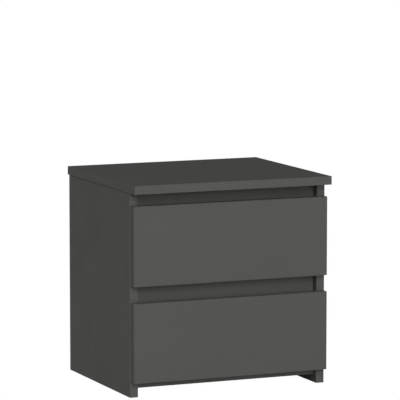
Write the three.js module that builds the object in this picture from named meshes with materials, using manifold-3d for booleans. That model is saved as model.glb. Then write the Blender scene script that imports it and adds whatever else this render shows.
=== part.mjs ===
// Two-drawer bedside cabinet in melamine-faced board, millimetres, +Z up.
// X runs across the width, -Y is the front, the origin is on the floor below the middle of the body.
import * as THREE from "three";
import { mergeVertices } from "three/addons/utils/BufferGeometryUtils.js";
import Module from "manifold-3d";

const wasm = await Module();
wasm.setup();

// ---------------------------------------------------------------- driving dimensions
const BOARD = 16; // every board is 16 mm
const TOP_HALF_W = 200; // top panel, half width
const TOP_Y = [-175, 175]; // top panel, front and rear edges
const HEIGHT = 400; // over all
const TOP_UNDER = HEIGHT - BOARD; // underside of the top, upper end of the sides
const SIDE_X = 199; // outer faces of the side panels
const SIDE_IN = SIDE_X - BOARD; // inner faces of the side panels
const SIDE_Y = [-145.5, 169.5]; // front and rear edges of the side panels
const BOTTOM_Z = [15, 31]; // bottom panel, set back behind the lower drawer front
const BOTTOM_FRONT_Y = -132;
const RAIL_Y = [-129.5, -113.5]; // both rails stand behind the finger gaps
const UPPER_RAIL_Z = [334, 384];
const MIDDLE_RAIL_Z = [160, 210];
const BACK_T = 3; // hardboard back
const BACK_HALF_W = 197;
const BACK_Z = [18, 383.5];

const FRONT_HALF_W = 197; // drawer fronts
const FRONT_Y = [-162, -146];
const LOWER_FRONT_Z = [28.5, 178.5];
const UPPER_FRONT_Z = [210, 360];

const BOX_RISE = 16; // drawer box bottom above the front's lower edge
const BOX_H = 100; // drawer box height
const BOX_X = 170.5; // outer faces of the drawer sides: 12.5 mm each side for the runners
const BOX_IN = BOX_X - BOARD;
const BOX_Y = [-146, 154]; // 300 mm drawer sides
const GROOVE_Z = 10; // groove for the drawer bottom, above the box's lower edge
const GROOVE_H = 3.25;
const GROOVE_D = 8;
const FLOOR_T = 3; // hardboard drawer bottom

const RUNNER_DROP = 9; // runner base below the drawer box bottom
const STEEL = 1; // runner sheet
const CHANNEL_Y = [-143, 157]; // cabinet member
const CHANNEL_H = 24;
const CHANNEL_W = 9; // web plus flange
const MEMBER_Y = [-144, 154]; // drawer member
const ROLLER_R = 10.5;
const ROLLER_W = 7;
const ROLLER_BORE_R = 2.6;
const PIN_R = 2.5;
const FRONT_ROLLER = { y: -130, up: 14.4, x: [173, 180] }; // on the cabinet member
const REAR_ROLLER = { y: 140, up: 11.6, x: [173.5, 180.5] }; // on the drawer member
const STOP_Y = [-98, -97]; // stop tab in the cabinet member

const CAM_R = 7.2; // cam lock housing
const CAM_HOLE_R = 7.5;
const CAM_T = 12.2;
const CAM_HOLE_D = 12.5;
const CAM_SETBACK = 34; // cam centre behind the panel's end
const BOLT_HOLE_R = 4;
const THREAD_HOLE_R = 3.1;
const THREAD_HOLE_D = 11;
const FIXING_Y = [-90, 130]; // front and rear cam locks
const MID = BOARD / 2; // bolts run in the middle of the board's thickness

// ---------------------------------------------------------------- finishes
const finish = (name, hex, roughness, metalness) => {
  const m = new THREE.MeshStandardMaterial({ roughness, metalness });
  m.name = name;
  m.color.set(hex);
  return m;
};
const graphite = finish("graphite_laminate", 0x565653, 0.55, 0);
const pale = finish("drawer_box_laminate", 0xd9d8d4, 0.5, 0);
const hardboard = finish("hardboard_back", 0x8e7156, 0.7, 0);
const whiteBoard = finish("hardboard_drawer_bottom", 0xdedcd7, 0.6, 0);
const epoxySteel = finish("runner_steel", 0xe8e8e5, 0.4, 0.2);
const nylon = finish("roller_nylon", 0xf2f1ec, 0.5, 0);
const rivet = finish("rivet_steel", 0xa9abad, 0.35, 0.9);
const bolt = finish("bolt_steel", 0x9da0a3, 0.35, 0.9);
const zinc = finish("cam_zinc", 0x8f9295, 0.45, 0.85);

// ---------------------------------------------------------------- geometry helpers
const bare = (g) => {
  g.deleteAttribute("normal");
  g.deleteAttribute("uv");
  return g;
};
const box = (x, y, z) => {
  const g = new THREE.BoxGeometry(x[1] - x[0], y[1] - y[0], z[1] - z[0]);
  g.translate((x[0] + x[1]) / 2, (y[0] + y[1]) / 2, (z[0] + z[1]) / 2);
  return g;
};
// exact axis swaps, so that faces land on exact coordinates
const swap = (x, y, z) => new THREE.Matrix4().makeBasis(new THREE.Vector3(...x), new THREE.Vector3(...y), new THREE.Vector3(...z));
const TO_X = swap([0, 0, 1], [1, 0, 0], [0, 1, 0]); // local Y becomes X
const TO_Z = swap([0, 1, 0], [0, 0, 1], [1, 0, 0]); // local Y becomes Z
const ALONG_Y = swap([1, 0, 0], [0, 0, 1], [0, -1, 0]); // local X, Y become X, Z
const rod = (r, length, axis, at, segments) => {
  const g = new THREE.CylinderGeometry(r, r, length, segments);
  g.applyMatrix4(axis === "x" ? TO_X : TO_Z);
  g.translate(...at);
  return g;
};
// a section in X and Z, extruded along Y
const extrudeY = (outline, y) => {
  const shape = new THREE.Shape(outline.map(([x, z]) => new THREE.Vector2(x, z)));
  const g = new THREE.ExtrudeGeometry(shape, { depth: y[1] - y[0], bevelEnabled: false });
  g.applyMatrix4(ALONG_Y);
  g.translate(0, y[1], 0);
  return g;
};
// a profile of [radius, position along the axis], in order of position
const turn = (profile, axis, at, segments) => {
  const g = new THREE.LatheGeometry(profile.map(([r, a]) => new THREE.Vector2(r, a)), segments);
  g.applyMatrix4(axis === "x" ? TO_X : TO_Z);
  g.translate(...at);
  return g;
};
const flip = (profile) => profile.map(([r, a]) => [r, -a]).reverse();

const solid = (g) => {
  const m = mergeVertices(bare(g.clone()), 1e-4);
  const vertProperties = new Float32Array(m.attributes.position.array);
  const triVerts = new Uint32Array(m.index.array);
  return new wasm.Manifold(new wasm.Mesh({ numProp: 3, vertProperties, triVerts }));
};
const shape = (s) => {
  const m = s.getMesh();
  const g = new THREE.BufferGeometry();
  g.setAttribute("position", new THREE.BufferAttribute(new Float32Array(m.vertProperties), 3));
  g.setIndex(new THREE.BufferAttribute(new Uint32Array(m.triVerts), 1));
  g.computeVertexNormals();
  return g;
};
const cut = (g, tools) => shape(tools.reduce((s, t) => s.subtract(solid(t)), solid(g)));
const joined = (g, more) => shape(more.reduce((s, t) => s.add(solid(t)), solid(g)));

const cabinet = new THREE.Group();
cabinet.name = "two_drawer_bedside_cabinet";
const add = (parent, name, g, material) => {
  const mesh = new THREE.Mesh(g, material);
  mesh.name = name;
  parent.add(mesh);
  return mesh;
};
const span = (a, b) => (a < b ? [a, b] : [b, a]);
const SIDES = [["left", -1], ["right", 1]];
const ENDS = [["front", FIXING_Y[0]], ["rear", FIXING_Y[1]]];

// ---------------------------------------------------------------- carcass
const carcass = new THREE.Group();
cabinet.add(carcass);

// top: four threaded holes underneath for the connecting bolts
const boltX = SIDE_X - MID;
add(
  carcass,
  "top_panel",
  cut(
    box([-TOP_HALF_W, TOP_HALF_W], TOP_Y, [TOP_UNDER, HEIGHT]),
    SIDES.flatMap(([, s]) => FIXING_Y.map((y) => rod(THREAD_HOLE_R, THREAD_HOLE_D + 2, "z", [s * boltX, y, TOP_UNDER - 2 + (THREAD_HOLE_D + 2) / 2], 12)))
  ),
  graphite
);

// side panels: cam holes in the inner face, bolt holes from the upper end, threaded holes for the bottom panel's bolts
const camZ = TOP_UNDER - CAM_SETBACK;
const bottomMid = (BOTTOM_Z[0] + BOTTOM_Z[1]) / 2;
for (const [side, s] of SIDES) {
  const tools = [];
  for (const y of FIXING_Y) {
    tools.push(rod(CAM_HOLE_R, CAM_HOLE_D + 2, "x", [s * (SIDE_IN - 2 + (CAM_HOLE_D + 2) / 2), y, camZ], 20));
    tools.push(rod(BOLT_HOLE_R, CAM_SETBACK + 2, "z", [s * boltX, y, TOP_UNDER + 2 - (CAM_SETBACK + 2) / 2], 12));
    tools.push(rod(THREAD_HOLE_R, THREAD_HOLE_D + 2, "x", [s * (SIDE_IN - 2 + (THREAD_HOLE_D + 2) / 2), y, bottomMid], 12));
  }
  add(carcass, `${side}_side_panel`, cut(box(span(s * SIDE_IN, s * SIDE_X), SIDE_Y, [0, TOP_UNDER]), tools), graphite);
}

// bottom panel: bolt holes from both ends, cam holes underneath
const bottomCamX = SIDE_IN - CAM_SETBACK;
add(
  carcass,
  "bottom_panel",
  cut(
    box([-SIDE_IN, SIDE_IN], [BOTTOM_FRONT_Y, SIDE_Y[1]], BOTTOM_Z),
    SIDES.flatMap(([, s]) =>
      FIXING_Y.flatMap((y) => [
        rod(BOLT_HOLE_R, CAM_SETBACK + 2, "x", [s * (SIDE_IN + 2 - (CAM_SETBACK + 2) / 2), y, bottomMid], 12),
        rod(CAM_HOLE_R, CAM_HOLE_D + 2, "z", [s * bottomCamX, y, BOTTOM_Z[0] - 2 + (CAM_HOLE_D + 2) / 2], 20),
      ])
    )
  ),
  graphite
);

add(carcass, "back_panel", box([-BACK_HALF_W, BACK_HALF_W], [SIDE_Y[1], SIDE_Y[1] + BACK_T], BACK_Z), hardboard);
add(carcass, "upper_rail", box([-SIDE_IN, SIDE_IN], RAIL_Y, UPPER_RAIL_Z), graphite);
add(carcass, "middle_rail", box([-SIDE_IN, SIDE_IN], RAIL_Y, MIDDLE_RAIL_Z), graphite);

// ---------------------------------------------------------------- cam locks and connecting bolts
// The housing is Ø14.4 with a pocket that grips the bolt's head and a cross recess in its face.
const camBody = (axis, dir, at) => {
  // built with its face at 0 and its body towards +axis * dir, the bolt arriving from the panel's end
  const half = CAM_T / 2;
  const body = rod(CAM_R, CAM_T, axis, [0, 0, 0], 20);
  const depth = MID - half; // bolt axis from the housing's middle, away from the face
  const tools = [];
  const block = (along, across, toward) => {
    // along: depth direction, across: sideways, toward: towards the panel's end
    if (axis === "x") return box(span(dir * along[0], dir * along[1]), across, toward);
    return box(toward, across, span(dir * along[0], dir * along[1]));
  };
  const reach = axis === "x" ? [-3.5, CAM_R + 1] : at[0] < 0 ? [-CAM_R - 1, 3.5] : [-3.5, CAM_R + 1];
  tools.push(block([depth - 3.4, depth + 3.4], [-3.4, 3.4], reach));
  tools.push(block([-half - 1, -half + 1.8], [-4, 4], [-0.8, 0.8]));
  tools.push(block([-half - 1, -half + 1.8], [-0.8, 0.8], [-4, 4]));
  const g = cut(body, tools);
  g.translate(...at);
  return g;
};
// position 0 is the face the bolt is screwed into; the head ends inside the cam
const BOLT = [
  [0, -10.5],
  [2.8, -10],
  [2.8, 0],
  [3.6, 0],
  [3.6, 1.25],
  [2.5, 1.25],
  [2.5, 29.5],
  [1.7, 30],
  [1.7, 32],
  [3, 32.75],
  [3, 35.5],
  [0, 36.5],
];
for (const [side, s] of SIDES) {
  for (const [end, y] of ENDS) {
    add(carcass, `top_cam_${side}_${end}`, camBody("x", s, [s * (SIDE_IN + CAM_T / 2), y, camZ]), zinc);
    add(carcass, `top_bolt_${side}_${end}`, turn(flip(BOLT), "z", [s * boltX, y, TOP_UNDER], 10), bolt);
    add(carcass, `bottom_cam_${side}_${end}`, camBody("z", 1, [s * bottomCamX, y, BOTTOM_Z[0] + CAM_T / 2]), zinc);
    add(carcass, `bottom_bolt_${side}_${end}`, turn(s > 0 ? flip(BOLT) : BOLT, "x", [s * SIDE_IN, y, bottomMid], 10), bolt);
  }
}

// ---------------------------------------------------------------- drawers on roller runners
const ROLLER = [
  [ROLLER_BORE_R, 0],
  [ROLLER_R - 1, 0],
  [ROLLER_R, 0.75],
  [ROLLER_R, ROLLER_W - 0.75],
  [ROLLER_R - 1, ROLLER_W],
  [ROLLER_BORE_R, ROLLER_W],
  [ROLLER_BORE_R, 0],
];
// riveted pin: shoulder against the steel, pin through the roller, head on the free end
const axleProfile = (root, roller, tip) => [
  [0, root],
  [4, root],
  [4, roller[0] - 0.3],
  [PIN_R, roller[0] - 0.3],
  [PIN_R, roller[1] + 0.3],
  [4.5, roller[1] + 0.3],
  [4.5, tip - 0.25],
  [3.8, tip],
  [0, tip],
];

const addDrawer = (name, front) => {
  const z0 = front[0] + BOX_RISE;
  const base = z0 - RUNNER_DROP;
  const drawer = new THREE.Group();
  cabinet.add(drawer);

  add(
    drawer,
    `${name}_drawer_front`,
    cut(box([-FRONT_HALF_W, FRONT_HALF_W], FRONT_Y, front), [
      box([-(BOX_IN + GROOVE_D + 0.5), BOX_IN + GROOVE_D + 0.5], [FRONT_Y[1] - GROOVE_D, FRONT_Y[1] + 2], [z0 + GROOVE_Z, z0 + GROOVE_Z + GROOVE_H]),
    ]),
    graphite
  );
  for (const [side, s] of SIDES) {
    const g0 = z0 + GROOVE_Z;
    const g1 = g0 + GROOVE_H;
    add(
      drawer,
      `${name}_drawer_${side}_side`,
      extrudeY(
        [
          [s * BOX_X, z0],
          [s * BOX_X, z0 + BOX_H],
          [s * BOX_IN, z0 + BOX_H],
          [s * BOX_IN, g1],
          [s * (BOX_IN + GROOVE_D), g1],
          [s * (BOX_IN + GROOVE_D), g0],
          [s * BOX_IN, g0],
          [s * BOX_IN, z0],
        ],
        BOX_Y
      ),
      pale
    );

    // cabinet member: a C channel open towards the drawer, its upper flange cut back behind the front roller
    const web = s * SIDE_IN;
    const webIn = s * (SIDE_IN - STEEL);
    const lip = s * (SIDE_IN - CHANNEL_W);
    const channel = extrudeY(
      [
        [web, base],
        [web, base + CHANNEL_H],
        [lip, base + CHANNEL_H],
        [lip, base + CHANNEL_H - STEEL],
        [webIn, base + CHANNEL_H - STEEL],
        [webIn, base + STEEL],
        [lip, base + STEEL],
        [lip, base],
      ],
      CHANNEL_Y
    );
    const tab = box(span(s * (SIDE_IN - CHANNEL_W + 1), s * (SIDE_IN - STEEL - 1)), STOP_Y, [base + STEEL / 2, base + STEEL + 3]);
    const relief = box(span(lip - s, webIn), [CHANNEL_Y[0] - 1, FRONT_ROLLER.y + ROLLER_R + 2.5], [base + CHANNEL_H - STEEL, base + CHANNEL_H + 1]);
    add(carcass, `${name}_${side}_cabinet_runner`, cut(joined(channel, [tab]), [relief]), epoxySteel);

    // drawer member: a foot under the drawer side, a web beside it and a flange over the front roller
    const inner = s * BOX_X;
    const outer = s * (BOX_X + STEEL);
    add(
      drawer,
      `${name}_${side}_drawer_runner`,
      extrudeY(
        [
          [inner, z0],
          [inner, base + 26],
          [s * (BOX_X + 10), base + 26],
          [s * (BOX_X + 10), base + 25],
          [outer, base + 25],
          [outer, z0 - STEEL],
          [s * (BOX_X - 13), z0 - STEEL],
          [s * (BOX_X - 13), z0],
        ],
        MEMBER_Y
      ),
      epoxySteel
    );

    // rollers and their riveted pins
    const rollerAt = (r) => (s > 0 ? r.x[0] : -r.x[1]);
    const front0 = rollerAt(FRONT_ROLLER);
    const rear0 = rollerAt(REAR_ROLLER);
    add(cabinet, `${name}_${side}_front_roller`, turn(ROLLER, "x", [front0, FRONT_ROLLER.y, base + FRONT_ROLLER.up], 20), nylon);
    add(cabinet, `${name}_${side}_rear_roller`, turn(ROLLER, "x", [rear0, REAR_ROLLER.y, base + REAR_ROLLER.up], 20), nylon);
    // front pin: rooted on the channel's web, free end towards the drawer
    const frontPin = axleProfile(-(SIDE_IN - STEEL), [-FRONT_ROLLER.x[1], -FRONT_ROLLER.x[0]], -172);
    add(carcass, `${name}_${side}_front_roller_pin`, turn(s > 0 ? flip(frontPin) : frontPin, "x", [0, FRONT_ROLLER.y, base + FRONT_ROLLER.up], 16), rivet);
    // rear pin: rooted on the drawer member's web, free end towards the cabinet side
    const rearPin = axleProfile(BOX_X + STEEL, REAR_ROLLER.x, 181.5);
    add(drawer, `${name}_${side}_rear_roller_pin`, turn(s > 0 ? rearPin : flip(rearPin), "x", [0, REAR_ROLLER.y, base + REAR_ROLLER.up], 16), rivet);
  }
  add(drawer, `${name}_drawer_back`, box([-BOX_IN, BOX_IN], [BOX_Y[1] - BOARD, BOX_Y[1]], [z0 + GROOVE_Z + FLOOR_T, z0 + BOX_H]), pale);
  const floorHalf = BOX_IN + GROOVE_D - 0.3;
  add(drawer, `${name}_drawer_bottom`, box([-floorHalf, floorHalf], [FRONT_Y[1] - GROOVE_D + 0.3, BOX_Y[1]], [z0 + GROOVE_Z, z0 + GROOVE_Z + FLOOR_T]), whiteBoard);
};
addDrawer("upper", UPPER_FRONT_Z);
addDrawer("lower", LOWER_FRONT_Z);

export default cabinet;
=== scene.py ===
import math
import random

import bmesh
import bpy
from mathutils import Matrix, Vector


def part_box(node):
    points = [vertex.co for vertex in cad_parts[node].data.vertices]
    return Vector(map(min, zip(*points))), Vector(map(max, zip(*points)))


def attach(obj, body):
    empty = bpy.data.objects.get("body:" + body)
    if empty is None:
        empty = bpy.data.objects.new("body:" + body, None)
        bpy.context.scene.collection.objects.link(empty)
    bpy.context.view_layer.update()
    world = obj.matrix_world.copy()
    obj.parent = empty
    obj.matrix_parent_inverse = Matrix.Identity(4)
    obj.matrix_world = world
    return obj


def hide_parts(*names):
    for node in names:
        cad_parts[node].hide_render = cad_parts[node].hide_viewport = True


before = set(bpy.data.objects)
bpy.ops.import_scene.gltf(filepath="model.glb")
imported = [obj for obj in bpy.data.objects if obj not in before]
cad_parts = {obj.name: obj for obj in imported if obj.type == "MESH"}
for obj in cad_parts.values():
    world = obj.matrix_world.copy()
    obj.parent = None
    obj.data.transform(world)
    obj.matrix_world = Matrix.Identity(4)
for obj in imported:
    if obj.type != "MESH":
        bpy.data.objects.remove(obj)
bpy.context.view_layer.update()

random.seed(7)
MM = 0.001
scene = bpy.context.scene
coll = scene.collection

# =====================================================================================
# materials
# =====================================================================================
def new_material(name):
    m = bpy.data.materials.new(name)
    m.use_nodes = True
    nt = m.node_tree
    for n in list(nt.nodes):
        nt.nodes.remove(n)
    out = nt.nodes.new("ShaderNodeOutputMaterial")
    b = nt.nodes.new("ShaderNodeBsdfPrincipled")
    nt.links.new(b.outputs["BSDF"], out.inputs["Surface"])
    return m, nt, b


def coords(nt, scale=(1, 1, 1)):
    tc = nt.nodes.new("ShaderNodeTexCoord")
    mp = nt.nodes.new("ShaderNodeMapping")
    mp.inputs["Scale"].default_value = scale
    nt.links.new(tc.outputs["Object"], mp.inputs["Vector"])
    return mp.outputs["Vector"]


def noise(nt, vec, scale, detail=2.0, rough=0.5, distortion=0.0):
    n = nt.nodes.new("ShaderNodeTexNoise")
    n.noise_dimensions = "3D"
    n.inputs["Scale"].default_value = scale
    n.inputs["Detail"].default_value = detail
    n.inputs["Roughness"].default_value = rough
    n.inputs["Distortion"].default_value = distortion
    nt.links.new(vec, n.inputs["Vector"])
    return n.outputs["Fac"]


def voronoi(nt, vec, scale, feature="F1", out="Distance"):
    n = nt.nodes.new("ShaderNodeTexVoronoi")
    n.feature = feature
    n.inputs["Scale"].default_value = scale
    nt.links.new(vec, n.inputs["Vector"])
    return n.outputs[out]


def ramp(nt, fac, stops, interpolation="LINEAR"):
    r = nt.nodes.new("ShaderNodeValToRGB")
    r.color_ramp.interpolation = interpolation
    while len(r.color_ramp.elements) < len(stops):
        r.color_ramp.elements.new(0.5)
    for e, (p, c) in zip(r.color_ramp.elements, stops):
        e.position = p
        e.color = (c[0], c[1], c[2], 1) if hasattr(c, "__len__") else (c, c, c, 1)
    nt.links.new(fac, r.inputs["Fac"])
    return r.outputs["Color"]


def mix(nt, fac, a, b, mode="MIX"):
    n = nt.nodes.new("ShaderNodeMix")
    n.data_type = "RGBA"
    n.blend_type = mode
    for sock, v in ((n.inputs[0], fac), (n.inputs[6], a), (n.inputs[7], b)):
        if hasattr(v, "links"):
            nt.links.new(v, sock)
        elif hasattr(v, "__len__"):
            sock.default_value = (v[0], v[1], v[2], 1)
        else:
            sock.default_value = v
    return n.outputs[2]


def math_node(nt, op, a, b=0.0, clamp=False):
    n = nt.nodes.new("ShaderNodeMath")
    n.operation = op
    n.use_clamp = clamp
    for sock, v in zip(n.inputs, (a, b)):
        if hasattr(v, "links"):
            nt.links.new(v, sock)
        else:
            sock.default_value = v
    return n.outputs[0]


def remap(nt, fac, lo, hi, a=0.0, b=1.0):
    n = nt.nodes.new("ShaderNodeMapRange")
    n.clamp = True
    n.inputs["From Min"].default_value = a
    n.inputs["From Max"].default_value = b
    n.inputs["To Min"].default_value = lo
    n.inputs["To Max"].default_value = hi
    nt.links.new(fac, n.inputs["Value"])
    return n.outputs["Result"]


def bump(nt, height, distance, strength=1.0, normal=None):
    n = nt.nodes.new("ShaderNodeBump")
    n.inputs["Distance"].default_value = distance
    n.inputs["Strength"].default_value = strength
    nt.links.new(height, n.inputs["Height"])
    if normal is not None:
        nt.links.new(normal, n.inputs["Normal"])
    return n.outputs["Normal"]


def shade(rgb, k):
    return tuple(min(1.0, c * k) for c in rgb)


def laminate(name, rgb, rough=0.5, wear=0.0, specular=0.5, emboss=0.55):
    """Melamine face: even colour with a fine pearl emboss, faint mottling and handling marks in the gloss."""
    m, nt, b = new_material(name)
    vec = coords(nt)
    cloud = noise(nt, vec, 9.0, 4.0, 0.55)
    fine = noise(nt, vec, 620.0, 2.0, 0.6)
    col = ramp(nt, cloud, [(0.30, shade(rgb, 0.985)), (0.70, shade(rgb, 1.015))])
    speck = ramp(nt, fine, [(0.30, (0.94, 0.94, 0.94)), (0.72, (1.06, 1.06, 1.06))])
    col = mix(nt, 1.0, col, speck, "MULTIPLY")
    if wear:
        w = noise(nt, vec, 160.0, 3.0, 0.65)
        f = remap(nt, w, 0.0, wear, 0.46, 0.66)
        col = mix(nt, f, col, shade(rgb, 2.1))
    nt.links.new(col, b.inputs["Base Color"])
    smudge = noise(nt, vec, 14.0, 5.0, 0.6, 0.6)
    r1 = remap(nt, smudge, rough - 0.025, rough + 0.035, 0.3, 0.7)
    r2 = remap(nt, fine, -0.03, 0.03, 0.3, 0.7)
    nt.links.new(math_node(nt, "ADD", r1, r2, True), b.inputs["Roughness"])
    b.inputs["Specular IOR Level"].default_value = specular
    b.inputs["IOR"].default_value = 1.5
    pearl = noise(nt, vec, 430.0, 3.0, 0.55)
    wave = noise(nt, vec, 26.0, 2.0, 0.5)
    n1 = bump(nt, wave, 0.00010, 0.20)
    n2 = bump(nt, pearl, 0.000035, emboss, n1)
    nt.links.new(n2, b.inputs["Normal"])
    return m


def band(name, rgb, rough=0.45, wear=0.35):
    """Edge banding: the same colour, a little glossier, with the fine scrape lines of the trimming knife and worn arrises."""
    m, nt, b = new_material(name)
    vec = coords(nt)
    cloud = noise(nt, vec, 22.0, 3.0, 0.55)
    col = ramp(nt, cloud, [(0.30, shade(rgb, 0.985)), (0.70, shade(rgb, 1.015))])
    w = noise(nt, vec, 240.0, 4.0, 0.7)
    col = mix(nt, remap(nt, w, 0.0, wear, 0.50, 0.72), col, shade(rgb, 1.7))
    nt.links.new(col, b.inputs["Base Color"])
    scr = noise(nt, coords(nt, (1, 1, 1)), 850.0, 2.0, 0.5)
    nt.links.new(remap(nt, scr, rough - 0.05, rough + 0.07, 0.3, 0.7), b.inputs["Roughness"])
    b.inputs["Specular IOR Level"].default_value = 0.5
    nt.links.new(bump(nt, scr, 0.00002, 0.4), b.inputs["Normal"])
    return m


def seam_material(name, rgb):
    """Glue line between a laminate face and its edge band."""
    m, nt, b = new_material(name)
    vec = coords(nt)
    n = noise(nt, vec, 300.0, 2.0)
    col = ramp(nt, n, [(0.3, shade(rgb, 0.30)), (0.7, shade(rgb, 0.62))])
    nt.links.new(col, b.inputs["Base Color"])
    b.inputs["Roughness"].default_value = 0.7
    return m


def chipboard(name):
    """Raw sawn chipboard: pressed flakes of mixed tone, coarse in the middle, with pits between them, the pits darkened
    towards near black as painted shade.
    """
    m, nt, b = new_material(name)
    vec = coords(nt)
    n = nt.nodes.new("ShaderNodeTexVoronoi")
    n.feature = "F1"
    n.inputs["Scale"].default_value = 430.0
    n.inputs["Randomness"].default_value = 1.0
    dist = noise(nt, vec, 120.0, 2.0)
    add = nt.nodes.new("ShaderNodeVectorMath")
    add.operation = "ADD"
    sc = nt.nodes.new("ShaderNodeVectorMath")
    sc.operation = "SCALE"
    sc.inputs["Scale"].default_value = 0.004
    comb = nt.nodes.new("ShaderNodeCombineXYZ")
    for i in range(3):
        nt.links.new(dist, comb.inputs[i])
    nt.links.new(comb.outputs[0], sc.inputs[0])
    nt.links.new(vec, add.inputs[0])
    nt.links.new(sc.outputs[0], add.inputs[1])
    nt.links.new(add.outputs[0], n.inputs["Vector"])
    sep = nt.nodes.new("ShaderNodeSeparateColor")
    nt.links.new(n.outputs["Color"], sep.inputs[0])
    col = ramp(nt, sep.outputs[0], [(0.0, (0.20, 0.125, 0.065)), (0.35, (0.36, 0.25, 0.145)), (0.75, (0.50, 0.375, 0.235)), (1.0, (0.62, 0.49, 0.33))])
    pit_depth_and_shade = noise(nt, vec, 520.0, 3.0, 0.7)
    # painted shade: the deepest pits are darkened towards near black, standing in for the shadow inside them
    col = mix(nt, remap(nt, pit_depth_and_shade, 0.75, 0.0, 0.30, 0.42), col, (0.10, 0.065, 0.035))
    nt.links.new(col, b.inputs["Base Color"])
    b.inputs["Roughness"].default_value = 0.88
    b.inputs["Specular IOR Level"].default_value = 0.25
    n1 = bump(nt, n.outputs["Distance"], 0.0004, 0.5)
    n2 = bump(nt, pit_depth_and_shade, 0.0005, 0.6, n1)
    nt.links.new(n2, b.inputs["Normal"])
    return m


def hardboard(name, light, dark, rough=0.62, fleck=1.0):
    """Pressed fibre sheet: fine felted fibres, a few darker flecks, a faint roller sheen."""
    m, nt, b = new_material(name)
    vec = coords(nt)
    vx = coords(nt, (1.0, 1.0, 0.22))
    fib = noise(nt, vx, 330.0, 4.0, 0.7, 1.2)
    vy = coords(nt, (0.22, 1.0, 1.0))
    fib2 = noise(nt, vy, 330.0, 4.0, 0.7, 1.2)
    f = math_node(nt, "MULTIPLY", math_node(nt, "ADD", fib, fib2), 0.5)
    col = ramp(nt, f, [(0.36, dark), (0.62, light)])
    cloud = noise(nt, vec, 12.0, 4.0, 0.6)
    col = mix(nt, remap(nt, cloud, 0.0, 0.35, 0.35, 0.75), col, shade(dark, 0.85))
    fl = noise(nt, vec, 170.0, 2.0, 0.5, 2.0)
    col = mix(nt, remap(nt, fl, 0.0, 0.55 * fleck, 0.66, 0.74), col, shade(dark, 0.45))
    nt.links.new(col, b.inputs["Base Color"])
    nt.links.new(remap(nt, cloud, rough - 0.06, rough + 0.08, 0.3, 0.7), b.inputs["Roughness"])
    b.inputs["Specular IOR Level"].default_value = 0.35
    nt.links.new(bump(nt, f, 0.00008, 0.5), b.inputs["Normal"])
    return m


def coated_steel(name, rgb, rough=0.34):
    """Epoxy powder coat on pressed steel: slight orange peel, thin rubbed spots."""
    m, nt, b = new_material(name)
    vec = coords(nt)
    peel = noise(nt, vec, 380.0, 2.0, 0.5)
    cloud = noise(nt, vec, 40.0, 3.0, 0.6)
    col = ramp(nt, cloud, [(0.3, shade(rgb, 0.96)), (0.7, shade(rgb, 1.03))])
    rub = noise(nt, coords(nt, (1.0, 0.12, 1.0)), 260.0, 3.0, 0.65)
    col = mix(nt, remap(nt, rub, 0.0, 0.35, 0.62, 0.78), col, shade(rgb, 0.72))
    nt.links.new(col, b.inputs["Base Color"])
    nt.links.new(remap(nt, rub, rough + 0.06, rough - 0.05, 0.4, 0.75), b.inputs["Roughness"])
    b.inputs["Specular IOR Level"].default_value = 0.55
    b.inputs["Coat Weight"].default_value = 0.25
    b.inputs["Coat Roughness"].default_value = 0.25
    nt.links.new(bump(nt, peel, 0.00004, 0.35), b.inputs["Normal"])
    return m


def nylon(name, rgb):
    """Moulded nylon: slightly waxy, with running marks round the tread."""
    m, nt, b = new_material(name)
    vec = coords(nt)
    cloud = noise(nt, vec, 90.0, 3.0, 0.6)
    col = ramp(nt, cloud, [(0.3, shade(rgb, 0.93)), (0.7, shade(rgb, 1.03))])
    run = noise(nt, coords(nt, (4.0, 0.5, 0.5)), 420.0, 2.0, 0.5)
    col = mix(nt, remap(nt, run, 0.0, 0.22, 0.55, 0.75), col, shade(rgb, 0.6))
    nt.links.new(col, b.inputs["Base Color"])
    nt.links.new(remap(nt, run, 0.40, 0.55, 0.3, 0.7), b.inputs["Roughness"])
    b.inputs["Subsurface Weight"].default_value = 0.08
    b.inputs["Subsurface Radius"].default_value = (0.002, 0.002, 0.002)
    nt.links.new(bump(nt, run, 0.00003, 0.35), b.inputs["Normal"])
    return m


def plated(name, rgb, rough=0.34, turn=None, tint=(0.50, 0.46, 0.30)):
    """Zinc-plated steel or die-cast zinc: brushed or tumbled, with passivation tint."""
    m, nt, b = new_material(name)
    vec = coords(nt)
    sc = coords(nt, turn or (1, 1, 1))
    scr = noise(nt, sc, 900.0, 3.0, 0.6)
    cloud = noise(nt, vec, 130.0, 3.0, 0.6)
    col = ramp(nt, scr, [(0.3, shade(rgb, 0.82)), (0.7, shade(rgb, 1.12))])
    col = mix(nt, remap(nt, cloud, 0.0, 0.35, 0.45, 0.75), col, tint)
    nt.links.new(col, b.inputs["Base Color"])
    b.inputs["Metallic"].default_value = 1.0
    nt.links.new(remap(nt, scr, rough - 0.08, rough + 0.14, 0.3, 0.7), b.inputs["Roughness"])
    nt.links.new(bump(nt, scr, 0.00003, 0.5), b.inputs["Normal"])
    return m


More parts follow.
